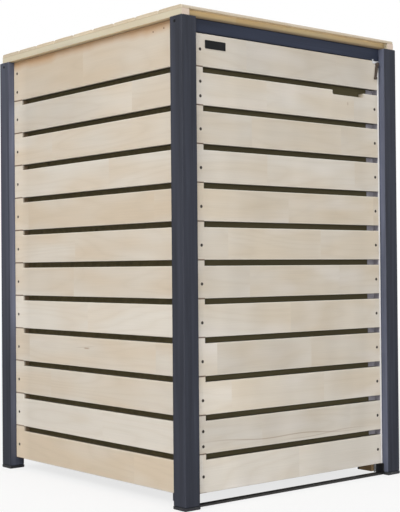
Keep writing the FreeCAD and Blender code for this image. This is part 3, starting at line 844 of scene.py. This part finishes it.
def model(work: bmesh.types.BMesh, name: str, *materials: bpy.types.Material) -> bpy.types.Object:
    """Turns the mesh being built into an object.

    Args:
        work: the mesh being built, which is freed.
        name: the object's name.
        materials: what it is made of.
    Returns:
        The object, which isn't linked to the scene yet.
    """
    mesh = bpy.data.meshes.new(name)
    work.to_mesh(mesh)
    work.free()
    for material in materials:
        mesh.materials.append(material)
    return bpy.data.objects.new(name, mesh)


@dataclass
class ScrewHead:
    """A small domed screw head with a cross-shaped drive, which Geometry Nodes repeats."""

    radius: float = 0.0040
    rise: float = 0.0007
    sides: int = 16
    sunk: float = 0.0002
    dome: tuple[tuple[float, float], ...] = ((1.0, 0.35), (0.72, 1.0), (0.46, 1.0))
    drive: tuple[float, float] = (0.44, 0.15)
    waist: float = 0.38

    def template(self) -> bpy.types.Object:
        """Builds one head that faces +Z, with its drive sunk in the middle.

        Returns:
            The head's object, which isn't linked to the scene.
        """
        work = bmesh.new()
        rings = [self.ring(work, self.radius, -self.sunk, 1.0)]
        rings += [self.ring(work, self.radius * share, self.rise * height, 1.0) for share, height in self.dome]
        rings.append(self.ring(work, self.radius * self.drive[0], self.rise * self.drive[1], self.waist))
        loft(work, rings)
        bmesh.ops.recalc_face_normals(work, faces=work.faces)
        return model(work, "screw_head_template")

    def ring(self, work: bmesh.types.BMesh, radius: float, height: float, waist: float) -> Ring:
        """One ring of points, pulled in between the arms of the cross.

        Args:
            work: the mesh being built.
            radius: the ring's radius.
            height: its height.
            waist: how far the ring comes in between the arms, 1 for a round ring.
        Returns:
            The ring's points.
        """
        points = []
        for index in range(self.sides):
            turn = 2.0 * math.pi * index / self.sides
            reach = radius * (waist + (1.0 - waist) * abs(math.cos(2.0 * turn)) ** 0.5)
            points.append(work.verts.new((reach * math.cos(turn), reach * math.sin(turn), height)))
        return points


@dataclass
class ScrewRows:
    """All the screws of one body, as one piece."""

    name: str
    body: str
    turn_spread: float = 1.5
    seed: int = 11
    places: list[tuple[Point, Point]] = field(default_factory=list)

    def add(self, point: Point, facing: Point) -> None:
        """Notes one screw and the way its head faces."""
        self.places.append((point, facing))

    def tree(self, head: bpy.types.Object, material: bpy.types.Material) -> bpy.types.NodeTree:
        """Builds the tree that puts a head on each point.

        Args:
            head: the object that is repeated.
            material: what the heads are made of.
        Returns:
            The geometry tree.
        """
        group = bpy.data.node_groups.new(f"{self.name}_tree", "GeometryNodeTree")
        for name, way, kind in (("Geometry", "INPUT", "Geometry"), ("Head Size", "INPUT", "Float"),
                                ("Turn Spread", "INPUT", "Float"), ("Geometry", "OUTPUT", "Geometry")):
            group.interface.new_socket(name, in_out=way, socket_type=f"NodeSocket{kind}")
        tree = NodeTree(group)
        entry = tree.add("NodeGroupInput").outputs
        points = tree.add("GeometryNodeMeshToPoints", {"Mesh": entry["Geometry"]})
        facing = tree.add("GeometryNodeInputNamedAttribute", {"Name": "facing"}, data_type="FLOAT_VECTOR")
        align = tree.add("FunctionNodeAlignRotationToVector", {"Vector": facing.outputs["Attribute"]}, axis="Z")
        spin = tree.add("FunctionNodeRandomValue", {"Seed": self.seed}, data_type="FLOAT")
        least, most = (socket for socket in spin.inputs if socket.name in ("Min", "Max") and socket.enabled)
        tree.feed(least, 0.0)
        tree.feed(most, entry["Turn Spread"])
        angle = next(socket for socket in spin.outputs if socket.enabled)
        turn = tree.add("FunctionNodeAxisAngleToRotation", {"Axis": (0.0, 0.0, 1.0), "Angle": angle})
        rotations = {"Rotation": align.outputs["Rotation"], "Rotate By": turn.outputs["Rotation"]}
        rotate = tree.add("FunctionNodeRotateRotation", rotations, rotation_space="LOCAL")
        info = tree.add("GeometryNodeObjectInfo", {"Object": head})
        instances = tree.add("GeometryNodeInstanceOnPoints", {
            "Points": points.outputs["Points"], "Instance": info.outputs["Geometry"],
            "Rotation": rotate.outputs["Rotation"], "Scale": entry["Head Size"]})
        realize = tree.add("GeometryNodeRealizeInstances", {"Geometry": instances.outputs["Instances"]})
        paint = tree.add("GeometryNodeSetMaterial", {"Geometry": realize.outputs["Geometry"], "Material": material})
        tree.add("NodeGroupOutput", {"Geometry": paint.outputs["Geometry"]})
        return group

    def build(self, head: bpy.types.Object, material: bpy.types.Material, slot: str) -> None:
        """Makes the piece and lets it ride on its body.

        Args:
            head: the object that is repeated.
            material: what the heads are made of.
            slot: the record's material slot; not used.
        """
        seeds = bpy.data.meshes.new(f"{self.name}_seeds")
        seeds.from_pydata([point for point, _ in self.places], [], [])
        attribute = seeds.attributes.new("facing", "FLOAT_VECTOR", "POINT")
        for index, (_, facing) in enumerate(self.places):
            attribute.data[index].vector = facing
        carrier = linked(bpy.data.objects.new(f"{self.name}_seeds", seeds))
        modifier = carrier.modifiers.new("heads", "NODES")
        modifier.node_group = self.tree(head, material)
        items = modifier.node_group.interface.items_tree
        inputs = {item.name: item.identifier for item in items if item.in_out == "INPUT"}
        modifier[inputs["Head Size"]] = 1.0
        modifier[inputs["Turn Spread"]] = self.turn_spread
        bpy.context.view_layer.update()
        mesh = bpy.data.meshes.new_from_object(carrier.evaluated_get(bpy.context.evaluated_depsgraph_get()))
        carrier.modifiers.clear()
        bpy.data.objects.remove(carrier)
        piece = linked(bpy.data.objects.new(self.name, mesh))
        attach(piece, self.body)
        log.info("made %s with %d screws", self.name, len(self.places))


@dataclass
class Fixings:
    """Where the screws of the store, the door and the lid are."""

    finishes: Finishes
    middle: float = 0.040
    top_screws: tuple[float, ...] = (1.109, 1.164)
    wall_face_x: float = 0.370
    wall_screw_y: float = 0.3665
    post_face_x: float = 0.390
    post_screws: tuple[tuple[float, float], ...] = ((-0.4050, 1.187), (0.4085, 1.187))
    cleat_screws: tuple[tuple[float, float], ...] = ((-0.3380, 1.1825), (-0.2940, 1.1800))
    door_left_x: float = -0.3155
    door_right_x: float = 0.322
    back_screw_x: float = 0.308
    deck_inset: float = 0.012
    deck_shares: tuple[float, ...] = (0.25, 0.75)
    deck_sink: float = 0.0002

    def heights(self, boards: int) -> list[float]:
        """The heights of the screws in the middle of the boards."""
        return [GROUND + BOARD_PITCH * board + self.middle for board in range(boards)]

    def side_screws(self, name: str, x: float, places: Iterable[tuple[float, float]]) -> ScrewRows:
        """Screws at the same places on both sides of the store.

        Args:
            name: the name of the piece.
            x: how far out their heads lie.
            places: the Y and Z of each screw.
        Returns:
            The screws.
        """
        rows = ScrewRows(name, "store")
        for side in SIDES:
            for y, z in places:
                rows.add((side * x, y, z), (side, 0.0, 0.0))
        return rows

    def store_screws(self) -> ScrewRows:
        """The screws of the side walls and of the back wall.

        Returns:
            The screws.
        """
        heights = (*self.heights(BOARDS - 1), *self.top_screws)
        rows = self.side_screws("store_screws", self.wall_face_x, [(self.wall_screw_y, z) for z in heights])
        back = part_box("back_wall_boards")[1][1]
        for side in SIDES:
            for z in self.heights(BOARDS):
                rows.add((side * self.back_screw_x, back, z), (0.0, 1.0, 0.0))
        return rows

    def door_screws(self) -> ScrewRows:
        """The screws along both upright edges of the door.

        Returns:
            The screws.
        """
        rows = ScrewRows("door_screws", "door")
        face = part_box("door_board_01")[0][1]
        out = (0.0, -1.0, 0.0)
        left = {0: (0.040,), 1: (0.0185, 0.0555), 10: (0.022, 0.058), 11: (0.042,)}
        for board in range(BOARDS):
            low = GROUND + BOARD_PITCH * board
            for height in left.get(board, (0.036,)):
                rows.add((self.door_left_x, face, low + height), out)
            if board < BOARDS - 1:
                rows.add((self.door_right_x, face, low + self.middle), out)
        return rows

    def lid_screws(self) -> ScrewRows:
        """The screws of the deck boards into the side battens and the middle one.

        Returns:
            The screws.
        """
        rows = ScrewRows("lid_screws", "lid")
        low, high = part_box("lid_deck_boards")
        deck = LidDeck(self.finishes)
        step = (high[1] - low[1] + deck.joint) / deck.count
        for board in range(deck.count):
            for share in self.deck_shares:
                y = low[1] + step * board + (step - deck.joint) * share
                for x in (low[0] + self.deck_inset, 0.0, high[0] - self.deck_inset):
                    rows.add((x, y, high[2] - self.deck_sink), (0.0, 0.0, 1.0))
        return rows

    def build(self) -> None:
        """Makes the five pieces."""
        head = ScrewHead().template()
        made = self.finishes.made
        for rows in (self.store_screws(), self.door_screws(), self.lid_screws()):
            rows.build(head, made["screw_head_dark"], "dark_coated_steel")
        posts = self.side_screws("post_screws", self.post_face_x, self.post_screws)
        posts.build(head, made["plate_plastic"], "dark_coated_steel")
        small = ScrewHead(radius=0.0022, rise=0.0004).template()
        cleats = self.side_screws("cleat_screws", self.wall_face_x, self.cleat_screws)
        cleats.build(small, made["screw_head_brown"], "dark_coated_steel")


@dataclass
class HingeScrews:
    """The bright screws of the lid's hinges."""

    finishes: Finishes
    spread: float = 0.46
    step: float = 0.025
    hinge_z: float = 1.2
    from_axis: float = 0.0140
    leaf: float = 0.0013

    def build(self) -> None:
        """Makes the screws of the leaves on the rail and of those on the lid."""
        head = ScrewHead(radius=0.0028, rise=0.0006).template()
        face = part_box("rear_top_rail")[1][1] + self.leaf
        for body, up in (("store", -1.0), ("lid", 1.0)):
            rows = ScrewRows(f"{body}_hinge_screws", body)
            for side in SIDES:
                for index in (-1.0, 0.0, 1.0):
                    x = side * self.spread / 2.0 + index * self.step
                    rows.add((x, face, self.hinge_z + up * self.from_axis), (0.0, 1.0, 0.0))
            rows.build(head, self.finishes.made["zinc_plated"], "zinc_plated_steel")


@dataclass
class BarePlate:
    """The small blank plate at the top left of the door, with a raised rim."""

    finishes: Finishes
    left: float = -0.2995
    right: float = -0.2330
    low: float = 1.1290
    high: float = 1.1500
    thickness: float = 0.0016
    corner: float = 0.0018
    corner_steps: int = 4
    rim: float = 0.0013
    hollow: float = 0.0005

    def build(self) -> None:
        """Makes the plate."""
        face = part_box("door_board_12")[0][1]
        work = bmesh.new()
        middle_x = (self.left + self.right) / 2.0
        middle_z = (self.low + self.high) / 2.0
        inner_x = 1.0 - 2.0 * self.rim / (self.right - self.left)
        inner_z = 1.0 - 2.0 * self.rim / (self.high - self.low)
        outline = self.outline()
        inside = [(middle_x + (x - middle_x) * inner_x, middle_z + (z - middle_z) * inner_z) for x, z in outline]
        front = face - self.thickness
        levels = ((outline, face), (outline, front), (inside, front), (inside, front + self.hollow))
        loft(work, [[work.verts.new((x, y, z)) for x, z in points] for points, y in levels])
        bmesh.ops.recalc_face_normals(work, faces=work.faces)
        piece = linked(model(work, "door_bare_plate", self.finishes.made["plate_plastic"]))
        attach(piece, "door")
        log.info("made the bare plate")

    def outline(self) -> list[tuple[float, float]]:
        """The plate's outline with rounded corners.

        Returns:
            The points, as X and Z.
        """
        right, left = self.right - self.corner, self.left + self.corner
        high, low = self.high - self.corner, self.low + self.corner
        points = []
        for quarter, (x, z) in enumerate(((right, high), (left, high), (left, low), (right, low))):
            for step in range(self.corner_steps + 1):
                angle = math.radians(90.0 * (quarter + step / self.corner_steps))
                points.append((x + self.corner * math.cos(angle), z + self.corner * math.sin(angle)))
        return points


@dataclass
class LidDeck:
    """The deck boards of the lid, with rounded upper arrises, so that their joints are open grooves."""

    finishes: Finishes
    count: int = 9
    joint: float = 0.001
    round_over: float = 0.0046
    crown: float = 0.0008
    lower_arris: float = 0.0006
    end_arris: float = 0.0008
    end_corner: float = 0.0016
    steps: int = 5
    flat: float = 0.01
    merge: float = 0.00001

    def profile(self, width: float, height: float) -> list[tuple[float, float]]:
        """The section of one board.

        Args:
            width: the board's width.
            height: its thickness.
        Returns:
            The points, as the place across the board and the height.
        """
        angles = [math.radians(90.0 * step / self.steps) for step in range(self.steps + 1)]
        arris = [(self.round_over * (1.0 - math.cos(angle)),
                  height - self.crown - self.round_over * (1.0 - math.sin(angle))) for angle in angles]
        return [
            (self.lower_arris, 0.0), (width - self.lower_arris, 0.0), (width, self.lower_arris),
            *((width - inset, z) for inset, z in arris), (width / 2.0, height), *reversed(arris),
            (0.0, self.lower_arris),
        ]

    def board(self, work: bmesh.types.BMesh, low: Point, high: Point) -> None:
        """Adds one board with eased ends.

        Args:
            work: the mesh that takes the board.
            low: its lowest corner.
            high: its highest corner.
        """
        half = self.end_corner / 2.0
        ends = ((0.0, self.end_corner, self.end_arris), (half, half, 0.0), (self.end_corner, 0.0, 0.0))
        cuts = [(low[0] + inset, aside, down) for inset, aside, down in ends]
        cuts += [(high[0] - inset, aside, down) for inset, aside, down in reversed(ends)]
        middle = (high[1] - low[1]) / 2.0
        rings = []
        for x, aside, down in cuts:
            ring = []
            for y, z in self.profile(high[1] - low[1], high[2] - low[2]):
                shift = aside if y < middle - self.flat else -aside if y > middle + self.flat else 0.0
                lift = max(low[2] + down, min(high[2] - down, low[2] + z))
                ring.append(work.verts.new((x, low[1] + y + shift, lift)))
            rings.append(ring)
        loft(work, rings)

    def build(self) -> None:
        """Makes the nine boards as one piece, which stands for the deck's solids."""
        low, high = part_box("lid_deck_boards")
        step = (high[1] - low[1] + self.joint) / self.count
        work = bmesh.new()
        for number in range(self.count):
            front = low[1] + step * number
            self.board(work, (low[0], front, low[2]), (high[0], front + step - self.joint, high[2]))
        bmesh.ops.remove_doubles(work, verts=work.verts, dist=self.merge)
        bmesh.ops.recalc_face_normals(work, faces=work.faces)
        piece = linked(model(work, "lid_deck", self.finishes.made["lid_softwood_deck"]))
        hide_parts("lid_deck_boards")
        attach(piece, "lid")
        log.info("made the lid's deck of %d boards", self.count)


@dataclass
class FootBrackets:
    """The dark corner brackets between the front posts and the blocks beside their feet."""

    finishes: Finishes
    post_face_x: float = 0.343
    off_the_post: float = 0.0001
    front: float = -0.4160
    corner: float = -0.3858
    low: float = 0.0052
    high: float = 0.0318
    thickness: float = 0.0022
    short_leg: float = 0.0105
    easing: float = 0.0005
    sharp: float = 0.5
    margin: float = 0.001

    def bracket(self, work: bmesh.types.BMesh, side: float) -> None:
        """Adds one bracket, an L section whose ends are closed by two faces each.

        Args:
            work: the mesh that takes the bracket.
            side: -1 for the left post and 1 for the right one.
        """
        bend = self.corner - self.thickness
        near, far = self.off_the_post, self.thickness
        plan = ((near, self.front), (far, self.front), (far, bend), (self.short_leg, bend),
                (self.short_leg, self.corner), (near, self.corner), (near, bend))
        rings = [[work.verts.new((side * (self.post_face_x - inset), y, z)) for inset, y in plan]
                 for z in (self.low, self.high)]
        band(work, *rings)
        for ring in rings:
            work.faces.new([*ring[:3], ring[6]])
            work.faces.new([ring[6], *ring[2:6]])

    def build(self) -> None:
        """Makes both brackets as one piece; their short legs show bare metal."""
        work = bmesh.new()
        for side in SIDES:
            self.bracket(work, side)
        bmesh.ops.recalc_face_normals(work, faces=work.faces)
        limit = self.post_face_x - self.thickness - self.margin
        for face in work.faces:
            face.material_index = 1 if abs(face.calc_center_median().x) < limit else 0
        edges = [edge for edge in work.edges if edge.calc_face_angle() > self.sharp]
        bmesh.ops.bevel(work, geom=edges, offset=self.easing, segments=1, affect="EDGES")
        made = self.finishes.made
        piece = linked(model(work, "foot_brackets", made["bracket_coating"], made["zinc_plated"]))
        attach(piece, "store")
        log.info("made the foot brackets")


@dataclass(frozen=True)
class Lamp:
    """One soft square lamp that points at the middle of the store."""

    name: str
    place: Point
    aim_z: float
    size: float
    watts: float
    tint: Colour

    def hang(self) -> None:
        """Hangs the lamp."""
        light = bpy.data.lights.new(self.name, "AREA")
        light.size, light.energy, light.color = self.size, self.watts, self.tint
        lamp = linked(bpy.data.objects.new(self.name, light))
        aim = Vector((0.0, 0.0, self.aim_z)) - Vector(self.place)
        lamp.matrix_world = Matrix.Translation(self.place) @ aim.to_track_quat("-Z", "Y").to_matrix().to_4x4()


@dataclass
class Studio:
    """The pale floor, the soft lights and the camera at the photograph's angle."""

    finishes: Finishes
    floor_half: float = 14.0
    camera_place: Point = (-2.138, -2.599, 0.584)
    yaw: float = 39.72
    pitch: float = 0.63
    roll: float = -0.49
    lens: float = 81.4
    sensor: float = 36.0
    lamps: tuple[Lamp, ...] = (
        Lamp("key_from_left", (-6.2, -2.4, 5.6), 0.6, 4.0, 400.0, (1.0, 0.985, 0.96)),
        Lamp("fill_from_front", (0.8, -7.0, 1.6), 0.6, 4.0, 112.0, (0.98, 0.99, 1.0)),
        Lamp("low_fill", (-4.6, -4.4, 0.45), 0.3, 1.6, 95.0, (1.0, 0.99, 0.98)),
    )
    sky: Colour = (0.97, 0.98, 1.0)
    bright_side: Point = (0.70, 0.70, 0.14)
    sky_strength: tuple[float, float] = (0.46, 1.05)

    def floor(self) -> None:
        """Lays the floor."""
        work = bmesh.new()
        half = self.floor_half
        work.faces.new([work.verts.new((x * half, y * half, 0.0)) for x, y in ((-1, -1), (1, -1), (1, 1), (-1, 1))])
        floor = linked(model(work, "studio_floor", self.finishes.made["pale_floor"]))

    def world(self) -> None:
        """Makes a white background for the camera, and an even pale light for everything else."""
        world = bpy.data.worlds.new("studio_world")
        bpy.context.scene.world = world
        world.use_nodes = True
        world.node_tree.nodes.clear()
        tree = NodeTree(world.node_tree)
        path = tree.add("ShaderNodeLightPath").outputs
        seen = reduce(lambda first, second: tree.math("MAXIMUM", first, second),
                      (path[f"Is {ray} Ray"] for ray in ("Camera", "Glossy", "Transmission")))
        way = tree.add("ShaderNodeTexCoord").outputs["Generated"]
        away = tree.add("ShaderNodeVectorMath", {0: way, 1: self.bright_side}, operation="DOT_PRODUCT")
        strength = tree.remap(away.outputs["Value"], 0.15, 0.85, *self.sky_strength)
        soft = tree.add("ShaderNodeBackground", {"Color": self.sky, "Strength": strength}).outputs[0]
        white = tree.add("ShaderNodeBackground", {"Color": WHITE, "Strength": 1.0}).outputs[0]
        mix = tree.add("ShaderNodeMixShader", {0: seen, 1: soft, 2: white}).outputs[0]
        tree.add("ShaderNodeOutputWorld", {"Surface": mix})

    def camera(self) -> None:
        """Places the camera."""
        data = bpy.data.cameras.new("photo_camera")
        data.lens = self.lens
        data.sensor_width = self.sensor
        camera = linked(bpy.data.objects.new("photo_camera", data))
        place = Matrix.Translation(self.camera_place)
        for angle, axis in ((-self.yaw, "Z"), (90.0 + self.pitch, "X"), (self.roll, "Z")):
            place = place @ Matrix.Rotation(math.radians(angle), 4, axis)
        camera.matrix_world = place
        bpy.context.scene.camera = camera

    def build(self) -> None:
        """Sets up the whole studio."""
        self.floor()
        self.world()
        for lamp in self.lamps:
            lamp.hang()
        self.camera()
        bpy.context.scene.view_settings.view_transform = "Standard"
        log.info("set up the studio")


def main() -> None:
    """Builds the dressed store and its studio."""
    finishes = Finishes().build()
    for part in (Dressing, Fixings, HingeScrews, BarePlate, LidDeck, FootBrackets, Studio):
        part(finishes).build()
    log.info("scene built")


if __name__ == "__main__":
    main()
